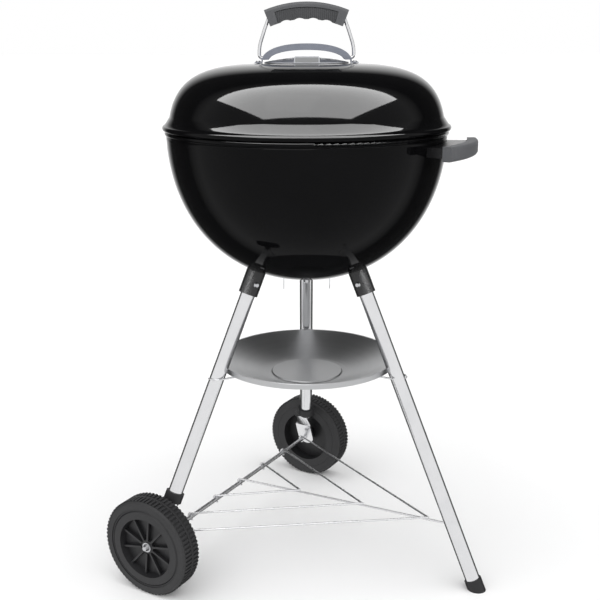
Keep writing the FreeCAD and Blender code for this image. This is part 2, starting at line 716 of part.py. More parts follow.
# ---- wheels and axle --------------------------------------------------------------------------
AXLE_Z = WHEEL_R
AXLE_ALONG = (leg_at(REAR, AXLE_Z) - leg_at(FRONT_LEFT, AXLE_Z)).normalize()
AXLE_MID = (leg_at(REAR, AXLE_Z) + leg_at(FRONT_LEFT, AXLE_Z)) * 0.5
AXLE_HALF = (leg_at(REAR, AXLE_Z) - AXLE_MID).Length


def wheel_side(degrees):
    """Unit vector along the axle from a wheel leg out to its wheel."""
    return AXLE_ALONG if degrees == REAR else AXLE_ALONG * -1


def place_on_leg(shape, degrees):
    """Move a shape made at the origin, with Z down the leg and X along its level side."""
    down = leg_down(degrees)
    level = UP.cross(wheel_side(degrees)).normalize()
    normal = down.cross(level).normalize()
    at = leg_at(degrees, AXLE_Z)
    m = FreeCAD.Matrix(level.x, normal.x, down.x, at.x, level.y, normal.y, down.y, at.y,
                       level.z, normal.z, down.z, at.z, 0, 0, 0, 1)
    moved = shape.copy()
    moved.transformShape(m)
    return moved


def flat_end():
    """Flattened lower end of a wheel leg, made upright with the axle hole at the origin."""
    plate = Part.makeBox(2 * FLAT_HALF, FLAT_THICK, FLAT_TOP, V(-FLAT_HALF, -FLAT_THICK / 2.0, -FLAT_TOP))
    tongue = Part.makeCylinder(FLAT_HALF, FLAT_THICK, V(0, -FLAT_THICK / 2.0, 0), Y_AXIS)
    ring = Part.Wire(Part.makeCircle(LEG_R, V(0, 0, -FLAT_TOP - CRIMP_LENGTH), UP))
    ellipse = Part.Ellipse(V(0, 0, -FLAT_TOP), FLAT_HALF, FLAT_THICK / 2.0)
    crimp = Part.makeLoft([ring, Part.Wire(ellipse.toShape())], True)
    return plate.fuse(tongue).fuse(crimp)


def wheel_leg(degrees):
    """Leg with a flattened end that the axle goes through."""
    along = FLAT_TOP + CRIMP_LENGTH
    joint = leg_at(degrees, AXLE_Z) - leg_down(degrees) * along
    body = leg_tube(degrees, joint.z)
    end = place_on_leg(flat_end(), degrees)
    at = leg_at(degrees, AXLE_Z)
    hole = rod(at - AXLE_ALONG * 30, at + AXLE_ALONG * 30, AXLE_R + SLIP_GAP)
    return body.fuse(end).cut(hole)


def leg_collars():
    """Plastic collars on the wheel legs, just above the tyres."""
    solids = []
    for degrees in (FRONT_LEFT, REAR):
        up = leg_down(degrees) * -1
        low = leg_at(degrees, AXLE_Z) + up * COLLAR_RISE
        inner = LEG_R + SLIP_GAP
        solids.append(tube(low, low + up * COLLAR_LENGTH, inner + COLLAR_WALL, inner))
    return Part.makeCompound(solids)


def axle_end():
    """Distance from the axle's middle to the outer face of a wheel's boss."""
    return AXLE_HALF + WHEEL_OFFSET + WHEEL_WIDTH / 2.0 - HUB_DISH_DEPTH + 6.0


def axle():
    """Straight axle through both wheel legs and both wheels."""
    reach = axle_end() + SEAT_GAP + NUT_H
    return rod(AXLE_MID - AXLE_ALONG * reach, AXLE_MID + AXLE_ALONG * reach, AXLE_R)


def axle_push_nuts():
    """Domed push nuts on both ends of the axle."""
    solids = []
    for side in (-1, 1):
        out = AXLE_ALONG * side
        at = AXLE_MID + out * (axle_end() + SEAT_GAP)
        cap = Part.makeCylinder(NUT_R, 1.5, at, out)
        dome_part = Part.makeCone(NUT_R * 0.75, NUT_R * 0.45, NUT_H + 1.0, at + out * 1.5, out)
        bore = rod(at - out, at + out * (NUT_H + SEAT_GAP), AXLE_R + RUN_GAP)
        solids.append(cap.fuse(dome_part).cut(bore))
    return Part.makeCompound(solids)


def place_wheel(shape, side):
    """Move a wheel piece made on Z, outer face up, onto one end of the axle."""
    out = AXLE_ALONG * side
    moved = shape.copy()
    turn = FreeCAD.Rotation(UP, out)
    at = AXLE_MID + out * (AXLE_HALF + WHEEL_OFFSET)
    moved.Placement = FreeCAD.Placement(at, turn).multiply(moved.Placement)
    return moved


def wheel_tyre(side):
    """Tyre with two bands of cross lugs and a middle rib."""
    half = WHEEL_WIDTH / 2.0
    inner = WHEEL_R - TYRE_DEPTH
    base = WHEEL_R - TREAD_DEPTH
    body = spun([(inner, -half), (base - 3, -half), (base, -half + 3), (base, -2.5), (WHEEL_R, -2),
                 (WHEEL_R, 2), (base, 2.5), (base, half - 3), (base - 3, half), (inner, half)])
    groove = spun([(inner - 1, half - 1.5), (inner + 3, half - 1.5), (inner + 3, half + 1), (inner - 1, half + 1)])
    body = body.cut(groove)
    band = half - 3.5 - TREAD_BAND
    width = 2 * math.pi * WHEEL_R / TREAD_LUGS * LUG_SHARE
    lugs = []
    for row in (-1, 1):
        for i in range(TREAD_LUGS):
            y0 = band if row > 0 else -band - TREAD_BAND
            lug = Part.makeBox(TREAD_DEPTH + 1.0, width, TREAD_BAND, V(base - 1.0, -width / 2.0, y0))
            lugs.append(turned(lug, 360.0 * (i + 0.25 * row) / TREAD_LUGS))
    outer = Part.makeCylinder(WHEEL_R, WHEEL_WIDTH, V(0, 0, -half))
    lugs = [lug.common(outer) for lug in lugs]
    return place_wheel(body.multiFuse(lugs), side)


def wheel_hub(side):
    """Wheel disc with a dished face, ribs and a boss that runs on the axle."""
    half = WHEEL_WIDTH / 2.0
    outer = WHEEL_R - TYRE_DEPTH - SEAT_GAP
    web = half - HUB_DISH_DEPTH
    inside = BOSS_LEG_GAP - WHEEL_OFFSET
    body = spun([(0, inside), (HUB_BOSS_R, inside), (HUB_BOSS_R, web - 4), (HUB_DISH_R + 2, web - 4),
                 (HUB_DISH_R + 2, -half), (outer, -half), (outer, half - 2), (outer - 2, half),
                 (HUB_DISH_R + 3, half), (HUB_DISH_R, web), (HUB_BOSS_R, web), (HUB_BOSS_R - 1, web + 6),
                 (0, web + 6)])
    ribs = []
    for i in range(HUB_RIBS):
        rib = Part.makeBox(HUB_DISH_R + 2 - HUB_BOSS_R, HUB_RIB_THICK, HUB_DISH_DEPTH - 5,
                           V(HUB_BOSS_R - 0.5, -HUB_RIB_THICK / 2.0, web - 1))
        ribs.append(turned(rib, 360.0 * (i + 0.5) / HUB_RIBS))
    body = body.multiFuse(ribs)
    return place_wheel(body.cut(Part.makeCylinder(AXLE_R + RUN_GAP, 100, V(0, 0, -50))), side)


# ---- bottom rack ------------------------------------------------------------------------------
RACK_ALONG = UP.cross(AXLE_ALONG).normalize() * -1


def rack_z(reach):
    """Height of the centre wire's axis at a distance from the axle."""
    start = AXLE_Z + AXLE_R + RACK_TOUCH + RACK_WIRE_R
    full = (leg_at(FRONT_RIGHT, RACK_LEG_Z) - AXLE_MID).dot(RACK_ALONG)
    return start + (RACK_LEG_Z - start) * reach / full


def rack_point(reach, side, lift=0.0):
    """Point of the rack from a distance off the axle and a distance along it."""
    at = AXLE_MID + RACK_ALONG * reach + AXLE_ALONG * side
    return V(at.x, at.y, rack_z(reach) + lift)


def hook(side, radius):
    """Wire end that curls over the axle and under it."""
    ring = Part.Wire(Part.makeCircle(radius, rack_point(0, side), RACK_ALONG))
    face = Part.Face(ring)
    centre = AXLE_MID + AXLE_ALONG * side
    turn = 200 if AXLE_ALONG.cross(UP).dot(RACK_ALONG) < 0 else -200
    return face.revolve(centre, AXLE_ALONG, turn)


def centre_wire(radius):
    """Wire from the axle's middle into the front right leg."""
    full = (leg_at(FRONT_RIGHT, RACK_LEG_Z) - AXLE_MID).dot(RACK_ALONG)
    return rod(rack_point(0, 0), rack_point(full, 0), radius).fuse(hook(0, radius))


def rack_arm(half, reach, sign):
    """One side of a V of wire, from the axle to the centre wire."""
    lift = 2 * RACK_WIRE_R + RACK_TOUCH
    start = rack_point(0, sign * half)
    end = rack_point(reach, 0, lift)
    joint = Part.makeSphere(RACK_WIRE_R, start)
    arm = rod(start, end, RACK_WIRE_R).multiFuse([joint, hook(sign * half, RACK_WIRE_R)])
    wall = Part.makeBox(900, 400, 60, V(-300, 0, -30))
    if sign > 0:
        wall.translate(V(0, -400, 0))
    wall.translate(V(0, sign * RACK_TOUCH / 2.0, 0))
    wall.rotate(ORIGIN, UP, math.degrees(math.atan2(RACK_ALONG.y, RACK_ALONG.x)))
    wall.translate(V(AXLE_MID.x, AXLE_MID.y, RACK_LEG_Z - 5))
    return arm.cut(wall)


def rack_pair(index):
    """Both sides of one V."""
    arms = [rack_arm(RACK_HALVES[index], RACK_REACHES[index], s) for s in (-1, 1)]
    return Part.makeCompound(arms)


# ---- ash catcher ------------------------------------------------------------------------------
DISH_RADIUS = LEG_FOOT_R - LEG_SLOPE * DISH_Z - LEG_R * math.hypot(1, LEG_SLOPE) - DISH_LEG_GAP - DISH_ROLL


def dish_z(radius):
    """Height of the dish's upper surface at a radius."""
    low = DISH_Z - DISH_DEPTH
    if radius <= DISH_FLAT_R:
        return low
    share = (radius - DISH_FLAT_R) / (DISH_RADIUS - DISH_FLAT_R)
    return low + DISH_DEPTH * share ** 1.35


def ash_catcher():
    """Spun dish with an embossed middle and a rim rolled over and down."""
    ridge = 2.0
    top = [(0, dish_z(0) + ridge), (DISH_FLAT_R - 4, dish_z(0) + ridge), (DISH_FLAT_R - 2, dish_z(0)),
           (DISH_FLAT_R, dish_z(0))]
    steps = 12
    for i in range(1, steps + 1):
        r = DISH_FLAT_R + (DISH_RADIUS - DISH_FLAT_R) * i / steps
        top.append((r, dish_z(r)))
    under = [(r, z - DISH_WALL) for r, z in reversed(top)]
    dish = spun(top + under)
    outer = DISH_RADIUS + DISH_ROLL
    roll = DISH_ROLL * 0.3
    rim = spun([(DISH_RADIUS - 1, DISH_Z), (outer - roll, DISH_Z), (outer, DISH_Z - roll),
                (outer, DISH_Z - DISH_SKIRT), (outer - DISH_WALL, DISH_Z - DISH_SKIRT),
                (outer - DISH_WALL, DISH_Z - DISH_WALL), (DISH_RADIUS - 1, DISH_Z - DISH_WALL)])
    return dish.fuse(rim)


def catcher_clips():
    """Wire clips that reach round the legs and hold the dish up from below."""
    solids = []
    clip_z = DISH_Z - DISH_SKIRT - SEAT_GAP - CLIP_R
    for degrees in (FRONT_LEFT, FRONT_RIGHT, REAR):
        middle = LEG_FOOT_R - LEG_SLOPE * clip_z
        ring = (LEG_R + SEAT_GAP + CLIP_R) * math.hypot(1, LEG_SLOPE) + 0.2
        half = ring
        loop = Part.makeTorus(ring, CLIP_R, V(middle, 0, clip_z), UP, -180, 180, 180)
        loop = loop.common(Part.makeBox(100, 200, 20, V(middle, -100, clip_z - 10)))
        for side in (-1, 1):
            inner = DISH_RADIUS - CLIP_REACH * 0.25
            arm = rod(V(middle, side * half, clip_z), V(inner, side * half, clip_z), CLIP_R)
            loop = loop.fuse(arm)
        solids.append(turned(loop, degrees))
    return Part.makeCompound(solids)


# ---- side handle ------------------------------------------------------------------------------
def side_block(r0, r1, z0, z1, a0, a1):
    """Curved block round the kettle's axis between two radii, heights and angles."""
    face = Part.Face(Part.makePolygon([V(r0, 0, z0), V(r1, 0, z0), V(r1, 0, z1), V(r0, 0, z1), V(r0, 0, z0)]))
    block = face.revolve(ORIGIN, UP, a1 - a0)
    return turned(block, SIDE_ANGLE + a0)


def side_wall_r():
    """Radius at which the side handle's bracket meets the bowl."""
    return bowl_r(SIDE_Z + BRACKET_HEIGHT / 2.0) + SEAT_GAP


def side_handle_bracket():
    """Steel bracket: a strip on the bowl, two arms and a plate between them."""
    low = SIDE_Z - BRACKET_HEIGHT / 2.0
    high = SIDE_Z + BRACKET_HEIGHT / 2.0
    wall = side_wall_r()
    end = SIDE_GRIP_R - SIDE_GRIP_THICK / 2.0 + 3.0
    strip = side_block(wall, wall + BRACKET_WALL, low, high, -BRACKET_HALF, BRACKET_HALF)
    plate = side_block(wall, end - 6.0, high - BRACKET_WALL, high, -BRACKET_HALF, BRACKET_HALF)
    bracket = strip.fuse(plate)
    arm_angle = math.degrees(BRACKET_WALL / SIDE_GRIP_R)
    for a0 in (-BRACKET_HALF, BRACKET_HALF - arm_angle):
        bracket = bracket.fuse(side_block(wall, end, low, high, a0, a0 + arm_angle))
    for at, out in side_screw_places():
        bracket = bracket.cut(rod(at - out * 10, at + out * 10, SCREW_R + SLIP_GAP))
    return bracket


def side_screw_places():
    """Points and directions of the two screws through the bracket into the bowl."""
    places = []
    for a in (-BRACKET_HALF * 0.6, BRACKET_HALF * 0.6):
        out = polar(1.0, SIDE_ANGLE + a)
        places.append((polar(side_wall_r() + BRACKET_WALL, SIDE_ANGLE + a, SIDE_Z - 2), out))
    return places


def side_handle_grip():
    """Moulded grip with rounded edges and end pieces that close on the arms."""
    half_t = SIDE_GRIP_THICK / 2.0
    half_h = SIDE_GRIP_HEIGHT / 2.0
    c = SIDE_CORNER
    k = c * (1 - math.sqrt(0.5))
    x0 = SIDE_GRIP_R - half_t
    x1 = SIDE_GRIP_R + half_t
    z0 = SIDE_Z - half_h
    z1 = SIDE_Z + half_h
    edges = [Part.makeLine(V(x0, 0, z0), V(x1 - c, 0, z0)),
             Part.Arc(V(x1 - c, 0, z0), V(x1 - k, 0, z0 + k), V(x1, 0, z0 + c)).toShape(),
             Part.makeLine(V(x1, 0, z0 + c), V(x1, 0, z1 - c)),
             Part.Arc(V(x1, 0, z1 - c), V(x1 - k, 0, z1 - k), V(x1 - c, 0, z1)).toShape(),
             Part.makeLine(V(x1 - c, 0, z1), V(x0, 0, z1)),
             Part.makeLine(V(x0, 0, z1), V(x0, 0, z0))]
    face = Part.Face(Part.Wire(edges))
    bar = turned(face.revolve(ORIGIN, UP, 2 * SIDE_GRIP_HALF), SIDE_ANGLE - SIDE_GRIP_HALF)
    pocket = side_handle_pockets()
    return bar.cut(pocket)


def side_handle_pockets():
    """Slots in the grip that take the ends of the bracket's arms."""
    low = SIDE_Z - BRACKET_HEIGHT / 2.0 - SLIP_GAP
    high = SIDE_Z + BRACKET_HEIGHT / 2.0 + SLIP_GAP
    end = SIDE_GRIP_R - SIDE_GRIP_THICK / 2.0 + 3.0 + SLIP_GAP
    arm_angle = math.degrees(BRACKET_WALL / SIDE_GRIP_R)
    gap = math.degrees(SLIP_GAP / SIDE_GRIP_R)
    slots = []
    for a0 in (-BRACKET_HALF, BRACKET_HALF - arm_angle):
        slots.append(side_block(SIDE_GRIP_R - SIDE_GRIP_THICK, end, low, high, a0 - gap, a0 + arm_angle + gap))
    return slots[0].fuse(slots[1])


def side_handle_screws():
    """Screws that hold the bracket to the bowl."""
    solids = []
    for at, out in side_screw_places():
        depth = BRACKET_WALL + SEAT_GAP + BOWL_WALL + 6.0
        shank = rod(at - out * depth, at + out, SCREW_R)
        head = Part.makeCone(SCREW_HEAD_R, SCREW_HEAD_R * 0.6, 2.4, at + out * 0.1, out)
        solids.append(shank.fuse(head))
    return Part.makeCompound(solids)


def bowl_with_screw_holes():
    """Bowl with the side handle's screw holes."""
    shell = bowl_shell()
    for at, out in side_screw_places():
        shell = shell.cut(rod(at - out * 14, at + out * 4, SCREW_R + SLIP_GAP))
    return shell


# ---- assembly ---------------------------------------------------------------------------------
def grate_ring_r(z):
    """Radius of a grate's ring that leaves the stated gap to the bowl."""
    return bowl_r(z - GRATE_RING_R, BOWL_WALL) - GRATE_GAP - GRATE_RING_R


def build_nodes():
    """Every piece by node name, in the layout frame."""
    cook_r = grate_ring_r(GRATE_Z)
    coal_r = grate_ring_r(COAL_Z)
    seat = GRATE_RING_R + SEAT_GAP
    nodes = {
        "bowl_shell": bowl_with_screw_holes(),
        "cooking_grate": grate(GRATE_Z, cook_r, GRATE_PITCH, True),
        "charcoal_grate": grate(COAL_Z, coal_r, COAL_PITCH, False),
        "cooking_grate_brackets": bracket_ring(GRATE_Z - seat, cook_r),
        "charcoal_grate_brackets": bracket_ring(COAL_Z - seat, coal_r),
        "bottom_damper": bottom_damper(),
        "bottom_damper_bolt": bottom_damper_bolt(),
        "lid_shell": lid_shell(),
        "lid_damper": lid_damper(),
        "lid_damper_badge": lid_damper_badge(),
        "lid_damper_rivet": lid_damper_rivet(),
        "lid_heat_shield": lid_heat_shield(),
        "lid_shield_screws": lid_shield_screws(),
        "lid_handle_wire": handle_wire(WIRE_R),
        "lid_grip_shell": lid_grip_shell(),
        "lid_grip_insert": lid_grip_insert(),
        "leg_socket_front_left": leg_socket(FRONT_LEFT),
        "leg_socket_front_right": leg_socket(FRONT_RIGHT),
        "leg_socket_rear": leg_socket(REAR),
        "leg_screws": leg_screws(),
        "leg_front_right": leg_front_right(),
        "leg_front_left": wheel_leg(FRONT_LEFT),
        "leg_rear": wheel_leg(REAR),
        "foot_cap": foot_cap(),
        "leg_collars": leg_collars(),
        "axle": axle(),
        "axle_push_nuts": axle_push_nuts(),
        "wheel_front_hub": wheel_hub(-1),
        "wheel_front_tyre": wheel_tyre(-1),
        "wheel_rear_hub": wheel_hub(1),
        "wheel_rear_tyre": wheel_tyre(1),
        "rack_centre_wire": centre_wire(RACK_WIRE_R),
        "ash_catcher": ash_catcher(),
        "catcher_clips": catcher_clips(),
        "side_handle_bracket": side_handle_bracket(),
        "side_handle_grip": side_handle_grip(),
        "side_handle_screws": side_handle_screws(),
    }
    for index, name in enumerate(RACK_NAMES):
        nodes["rack_wires_" + name] = rack_pair(index)
    return nodes


def origin_shift(nodes):
    """Vector that brings the middle of the whole box, on the ground, to the origin."""
    box = FreeCAD.BoundBox()
    for shape in nodes.values():
        box.add(shape.optimalBoundingBox(False))
    return V(-(box.XMin + box.XMax) / 2.0, -(box.YMin + box.YMax) / 2.0, -box.ZMin)


def export_all():
    """Build, move to the origin and write one STEP file for each node."""
    os.makedirs("parts", exist_ok=True)
    nodes = build_nodes()
    shift = origin_shift(nodes)
    for name, shape in nodes.items():
        shape.translate(shift)
        shape.exportStep("parts/" + name + ".step")
    return nodes, shift


if __name__ == "__main__":
    export_all()
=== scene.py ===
"""Looks for the kettle charcoal grill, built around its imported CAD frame.

Every CAD piece keeps its place and shape and gets a procedural finish here.  Two smooth
enamel coats, over the bowl and over the lid, are added as pieces and ride on CAD bodies.
"""

from __future__ import annotations

import logging
import math
from dataclasses import dataclass
from enum import Enum
from typing import Iterable, Sequence

import bpy
from mathutils import Matrix, Vector

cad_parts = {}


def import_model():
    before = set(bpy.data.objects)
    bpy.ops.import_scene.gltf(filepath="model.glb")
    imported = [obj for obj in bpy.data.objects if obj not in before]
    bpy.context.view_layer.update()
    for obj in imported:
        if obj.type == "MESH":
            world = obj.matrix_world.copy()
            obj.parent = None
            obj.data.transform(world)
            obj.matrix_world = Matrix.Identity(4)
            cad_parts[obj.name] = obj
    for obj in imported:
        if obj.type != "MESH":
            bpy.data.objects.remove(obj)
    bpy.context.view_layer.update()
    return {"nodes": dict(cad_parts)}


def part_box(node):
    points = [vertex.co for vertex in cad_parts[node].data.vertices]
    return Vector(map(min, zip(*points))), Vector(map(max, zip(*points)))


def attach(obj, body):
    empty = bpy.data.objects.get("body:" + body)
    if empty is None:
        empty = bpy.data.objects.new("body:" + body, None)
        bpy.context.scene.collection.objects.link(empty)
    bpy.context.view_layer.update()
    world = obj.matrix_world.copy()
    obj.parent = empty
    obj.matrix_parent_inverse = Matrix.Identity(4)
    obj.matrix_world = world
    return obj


LOG = logging.getLogger("kettle_grill")
MM = 0.001
ENAMEL_SLOT = "enamel"

# Shell profiles, as the CAD spins them, for the enamel coats.
BOWL_LIP_OUT = 2.7 * MM
BOWL_CENTRE_RISE = 2.3 * MM
BOWL_POWER = 2.14
BOWL_COAT_FROM = 44 * MM
BOWL_COAT_DROP = 8.5 * MM
LID_BEAD_R = 4.8 * MM
LID_SKIRT_IN = 2.8 * MM
LID_DEPTH = 193.8 * MM
LID_POWER = 4.2
LID_COAT_FROM = 56 * MM
LID_COAT_RISE = 18 * MM
LID_FLARE_IN = 1.4 * MM
LID_FLARE_RISE = 8.1 * MM
LID_BEAD_FIRST = 75.0
LID_BEAD_LAST = -40.0

# Studio light.
SENSOR_WIDTH = 36.0
SKY_ENERGY = 1.9
SKY_ANGLE = 100
SKY_TILT = (14, -6)
LID_BOX_RADIANCE = 44.0
METAL_BOX_RADIANCE = 2.2

Colour = tuple[float, float, float]

# Surroundings from the near side to the far side: bright, dark, and bright behind the kettle.
BRIGHT: Colour = (1.0, 1.0, 1.0)
DARK: Colour = (0.05, 0.05, 0.05)
WORLD_STOPS = ((0.0, BRIGHT), (0.56, BRIGHT), (0.68, DARK), (0.90, DARK), (0.962, BRIGHT),
               (1.0, BRIGHT))


# ------------------------------------------------------------------------------ shader maths
class Wire:
    """One output socket with arithmetic that adds Math nodes."""

    def __init__(self, book: "NodeBook", socket: bpy.types.NodeSocket) -> None:
        """Keep a socket and the book of nodes that it belongs to.

        Args:
            book: The node book that owns the socket.
            socket: The output socket to wrap.
        """
        self.book = book
        self.socket = socket

    def _maths(self, operation: str, first: object, second: object = None) -> "Wire":
        """Add one Math node.

        Args:
            operation: The Math node's operation.
            first: The first value or wire.
            second: The second value or wire, if the operation has one.

        Returns:
            The wire of the result.
        """
        values = {0: first} if second is None else {0: first, 1: second}
        return self.book.add("ShaderNodeMath", {"operation": operation}, values)

    def __add__(self, other: object) -> "Wire":
        """Sum of this wire and a value."""
        return self._maths("ADD", self, other)

    __radd__ = __add__

    def __sub__(self, other: object) -> "Wire":
        """This wire less a value."""
        return self._maths("SUBTRACT", self, other)

    def __rsub__(self, other: object) -> "Wire":
        """A value less this wire."""
        return self._maths("SUBTRACT", other, self)

    def __mul__(self, other: object) -> "Wire":
        """Product of this wire and a value."""
        return self._maths("MULTIPLY", self, other)

    __rmul__ = __mul__

    def sine(self) -> "Wire":
        """Sine of this wire."""
        return self._maths("SINE", self)

    def clamped(self, low: float = 0.0, high: float = 1.0) -> "Wire":
        """This wire held between two values.

        Args:
            low: The least value.
            high: The greatest value.

        Returns:
            The held wire.
        """
        return self._maths("MINIMUM", self._maths("MAXIMUM", self, low), high)


class NodeBook:
    """The nodes of one tree, and the one way to add working nodes to it."""

    def __init__(self, tree: bpy.types.NodeTree) -> None:
        """Keep the tree.

        Args:
            tree: The tree of a material or of the world.
        """
        self.tree = tree

    def add(self, kind: str, settings: dict[str, object] | None = None,
            values: dict[object, object] | None = None, output: object = 0) -> Wire:
        """Add one node, set it up and wrap one of its outputs.

        Args:
            kind: The node's type.
            settings: Properties to set first; "stops" holds a ramp's (place, colour) pairs.
            values: Numbers, colours, vectors or wires for its input sockets, by name or place.
            output: The name or place of the output to return.

        Returns:
            The wire of the chosen output.
        """
        node = self.tree.nodes.new(kind)
        for key, value in (settings or {}).items():
            if key == "stops":
                self._set_stops(node, value)
            else:
                setattr(node, key, value)
        for key, value in (values or {}).items():
            self.feed(node.inputs[key], value)
        return Wire(self, node.outputs[output])

    def _set_stops(self, node: bpy.types.Node, stops: Sequence[tuple[float, Colour]]) -> None:
        """Set a ramp's stops.

        Args:
            node: The ramp node.
            stops: Pairs of place and colour, in order.
        """
        elements = node.color_ramp.elements
        while len(elements) < len(stops):
            elements.new(0.5)
        for element, (place, colour) in zip(elements, stops):
            element.position = place
            element.color = (*colour, 1.0)

    def feed(self, socket: bpy.types.NodeSocket, value: object) -> None:
        """Link a wire to a socket or set its value.

        Args:
            socket: The input socket.
            value: A wire, number, colour or vector.
        """
        if isinstance(value, Wire):
            self.tree.links.new(value.socket, socket)
            return
        if isinstance(value, (tuple, list)) and socket.type == "RGBA" and len(value) == 3:
            value = (*value, 1.0)
        socket.default_value = value


class MaterialBook(NodeBook):
    """The nodes of one material, with its main shader."""

    def __init__(self, name: str) -> None:
        """Start a material with a shader and an output.

        Args:
            name: The material's name.
        """
        self.material = bpy.data.materials.new(name)
        self.material.use_nodes = True
        super().__init__(self.material.node_tree)
        self.tree.nodes.clear()
        self.shader = self.tree.nodes.new("ShaderNodeBsdfPrincipled")
        output = self.tree.nodes.new("ShaderNodeOutputMaterial")
        self.tree.links.new(self.shader.outputs[0], output.inputs[0])

    def shade(self, **values: object) -> bpy.types.Material:
        """Feed the main shader and give back the material.

        Args:
            values: Socket values by name, with underscores for spaces.

        Returns:
            The finished material.
        """
        for key, value in values.items():
            self.feed(self.shader.inputs[key.replace("_", " ")], value)
        return self.material

    def place(self) -> Wire:
        """Position in the object, in metres."""
        return self.add("ShaderNodeTexCoord", output="Object")

    def noise(self, scale: float, detail: float,
              stretch: Sequence[float] = (1.0, 1.0, 1.0)) -> Wire:
        """Fractal noise over the piece, from 0 to 1.

        Args:
            scale: Cells to the metre.
            detail: Octaves.
            stretch: Scale of each axis before the noise.

        Returns:
            The noise value.
        """
        place = self.add("ShaderNodeMapping", None,
                         {"Vector": self.place(), "Scale": tuple(stretch)})
        return self.add("ShaderNodeTexNoise", None,
                        {"Vector": place, "Scale": scale, "Detail": detail, "Roughness": 0.55})

    def radius(self, centre: Vector) -> Wire:
        """Distance from an upright axis, in metres.

        Args:
            centre: A point of the axis.

        Returns:
            The distance.
        """
        moved = self.add("ShaderNodeVectorMath", {"operation": "SUBTRACT"},
                         {0: self.place(), 1: tuple(centre)})
        flat = self.add("ShaderNodeVectorMath", {"operation": "MULTIPLY"}, {0: moved, 1: (1, 1, 0)})
        return self.add("ShaderNodeVectorMath", {"operation": "LENGTH"}, {0: flat}, "Value")

    def lines(self, along: Wire, scale: float) -> Wire:
        """Noise that changes with one number only, for turned or drawn metal.

        Args:
            along: The number.
            scale: Cells to the metre.

        Returns:
            The noise value.
        """
        return self.add("ShaderNodeTexNoise", {"noise_dimensions": "1D"},
                        {"W": along, "Scale": scale, "Detail": 3.0, "Roughness": 0.7})

    def mix(self, factor: object, low: Colour, high: Colour) -> Wire:
        """Blend of two colours.

        Args:
            factor: Share of the second colour.
            low: The first colour.
            high: The second colour.

        Returns:
            The blended colour.
        """
        return self.add("ShaderNodeMix", {"data_type": "RGBA"},
                        {0: factor, 6: (*low, 1.0), 7: (*high, 1.0)}, 2)

    def bump(self, height: Wire, depth: float, strength: float) -> Wire:
        """Normal bent by a height.

        Args:
            height: The height value, 0 to 1.
            depth: The height's real size in metres.
            strength: How much of it shows.

        Returns:
            The normal.
        """
        return self.add("ShaderNodeBump", None,
                        {"Strength": strength, "Distance": depth, "Height": height})


# ---------------------------------------------------------------------------------- finishes
class Grain(Enum):
    """How a plastic piece's surface is grained."""

    FINE = 900.0
    COARSE = 450.0


@dataclass(frozen=True)
class Enamel:
    """Deep black glass enamel fired on steel."""

    name: str = "black_enamel"
    colour: Colour = (0.0016, 0.0016, 0.0018)
    fleck: Colour = (0.004, 0.004, 0.0045)
    ior: float = 1.16
    cloud_scale: float = 14.0
    fleck_scale: float = 1400.0
    fleck_gain: float = 1.4
    rough: float = 0.035
    rough_spread: float = 0.045
    peel_scale: float = 160.0
    peel_depth: float = 0.00003
    peel_strength: float = 0.35

    def make(self) -> bpy.types.Material:
        """Build the material.

        Returns:
            The finished material.
        """
        book = MaterialBook(self.name)
        cloud = book.noise(self.cloud_scale, 3.0)
        speck = book.noise(self.fleck_scale, 1.0)
        peel = book.noise(self.peel_scale, 2.0)
        tone = (speck * cloud * self.fleck_gain).clamped()
        return book.shade(Base_Color=book.mix(tone, self.colour, self.fleck),
                          Roughness=self.rough + cloud * self.rough_spread, IOR=self.ior,
                          Normal=book.bump(peel, self.peel_depth, self.peel_strength))


@dataclass(frozen=True)
class PlatedTube:
    """Bright plated steel tube with faint drawing marks along it."""

    name: str
    stretch: tuple[float, float, float] = (40.0, 40.0, 1.2)
    colour: Colour = (0.80, 0.80, 0.81)
    shade_colour: Colour = (0.66, 0.665, 0.68)
    rough: float = 0.13
    draw_scale: float = 30.0
    haze_scale: float = 22.0
    draw_depth: float = 0.00002
    draw_strength: float = 0.25

    def make(self) -> bpy.types.Material:
        """Build the material.

        Returns:
            The finished material.
        """
        book = MaterialBook(self.name)
        draw = book.noise(self.draw_scale, 3.0, self.stretch)
        haze = book.noise(self.haze_scale, 3.0)
        tone = (haze * 0.9 + draw * 0.3 - 0.2).clamped()
        return book.shade(Base_Color=book.mix(tone, self.colour, self.shade_colour), Metallic=1.0,
                          Roughness=self.rough + draw * 0.05 + haze * 0.06,
                          Normal=book.bump(draw, self.draw_depth, self.draw_strength))


@dataclass(frozen=True)
class SpunMetal:
    """Sheet metal turned on a lathe, with fine rings round its axis."""

    name: str
    centre: Vector
    colour: Colour = (0.60, 0.605, 0.61)
    dark: Colour = (0.44, 0.445, 0.455)
    rough: float = 0.30
    rings: float = 900.0
    wide_rings: float = 900.0 / 14.0
    cloud_scale: float = 30.0
    ring_depth: float = 0.00008
    ring_strength: float = 0.35

    def make(self) -> bpy.types.Material:
        """Build the material.

        Returns:
            The finished material.
        """
        book = MaterialBook(self.name)
        radius = book.radius(self.centre)
        ring = book.lines(radius, self.rings)
        wide = book.lines(radius, self.wide_rings)
        cloud = book.noise(self.cloud_scale, 4.0)
        tone = (ring * 0.55 + wide * 0.35 + cloud * 0.25 - 0.1).clamped()
        return book.shade(Base_Color=book.mix(tone, self.dark, self.colour), Metallic=1.0,
                          Roughness=self.rough + ring * 0.10 + cloud * 0.06,
                          Normal=book.bump(ring * 0.7 + wide * 0.3, self.ring_depth,
                                           self.ring_strength))


